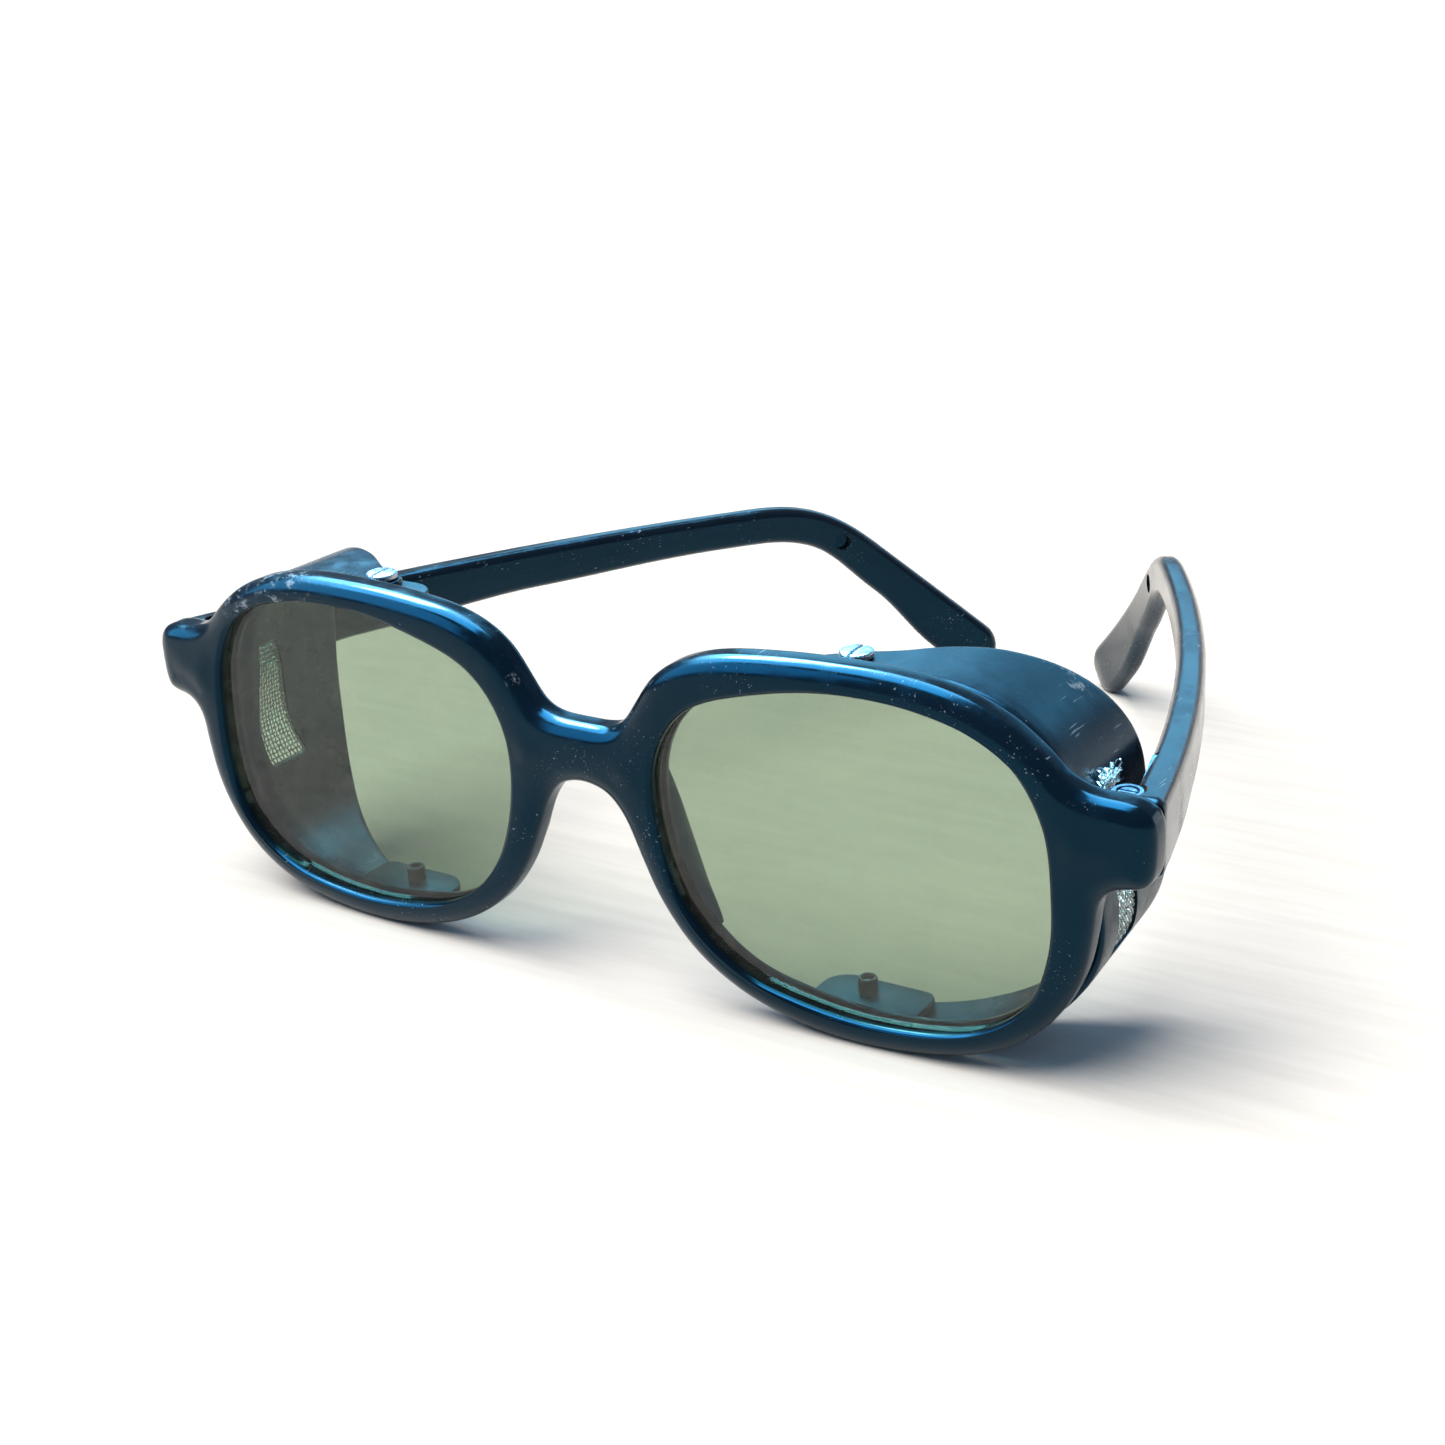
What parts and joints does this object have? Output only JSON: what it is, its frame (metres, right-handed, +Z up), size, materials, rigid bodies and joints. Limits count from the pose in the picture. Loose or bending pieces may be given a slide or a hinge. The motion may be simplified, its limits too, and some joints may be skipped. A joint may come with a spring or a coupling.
{
  "type": "safety glasses",
  "caption": "Safety glasses with a moulded dark plastic front, green glass lenses, cupped side shields with wire mesh windows that swing inwards, and folding drop-end temples.",
  "frame": {"origin": "on the level surface the glasses rest on, under the middle of the bounding box", "axes": "+X to the wearer's left, +Y from the front towards the temple tips, +Z up; the rims and the temple tips touch z = 0"},
  "size_m": [0.1434, 0.1354, 0.0472],
  "materials": {
    "frame_plastic": "glossy, lightly scuffed",
    "shield_plastic": "satin to glossy, scratched",
    "lens_glass": "clear green tint",
    "screw_steel": "satin",
    "blackened_metal": "blackened, satin",
    "mesh_wire": "bright drawn wire",
    "hinge_metal": "plated, satin"
  },
  "bodies": {
    "front": {"front_frame": "frame_plastic", "lens_left": "lens_glass", "screw_top_left": "screw_steel", "screw_bottom_left": "screw_steel", "sleeve_top_left": "blackened_metal", "sleeve_bottom_left": "blackened_metal", "hinge_front_left": "hinge_metal", "hinge_screw_left": "screw_steel", "lens_right": "lens_glass", "screw_top_right": "screw_steel", "screw_bottom_right": "screw_steel", "sleeve_top_right": "blackened_metal", "sleeve_bottom_right": "blackened_metal", "hinge_front_right": "hinge_metal", "hinge_screw_right": "screw_steel"},
    "shield_left": {"shield_left": "shield_plastic", "shield_mesh_left": "mesh_wire"},
    "shield_right": {"shield_right": "shield_plastic", "shield_mesh_right": "mesh_wire"},
    "temple_left": {"temple_left": "frame_plastic", "hinge_temple_left": "hinge_metal"},
    "temple_right": {"temple_right": "frame_plastic", "hinge_temple_right": "hinge_metal"}
  },
  "joints": [
    {"name": "temple_left_fold", "type": "hinge", "parent": "front", "child": "temple_left", "pos_m": [0.066, -0.0572, 0.02975], "axis": [0, -0.0488, 0.9988], "range_deg": [0, 50]},
    {"name": "temple_right_fold", "type": "hinge", "parent": "front", "child": "temple_right", "pos_m": [-0.066, -0.0572, 0.02975], "axis": [0, -0.0488, 0.9988], "range_deg": [-22, 0]},
    {"name": "shield_left_swing", "type": "hinge", "parent": "front", "child": "shield_left", "pos_m": [0.0343, -0.059, 0.02966], "axis": [0, -0.0488, 0.9988], "range_deg": [0, 145]},
    {"name": "shield_right_swing", "type": "hinge", "parent": "front", "child": "shield_right", "pos_m": [-0.0343, -0.059, 0.02966], "axis": [0, -0.0488, 0.9988], "range_deg": [-64, 0]}
  ],
  "couplings": [
    {"joint": "shield_left_swing", "follows": "temple_left_fold", "ratio": 2.9},
    {"joint": "shield_right_swing", "follows": "temple_right_fold", "ratio": 2.9}
  ]
}
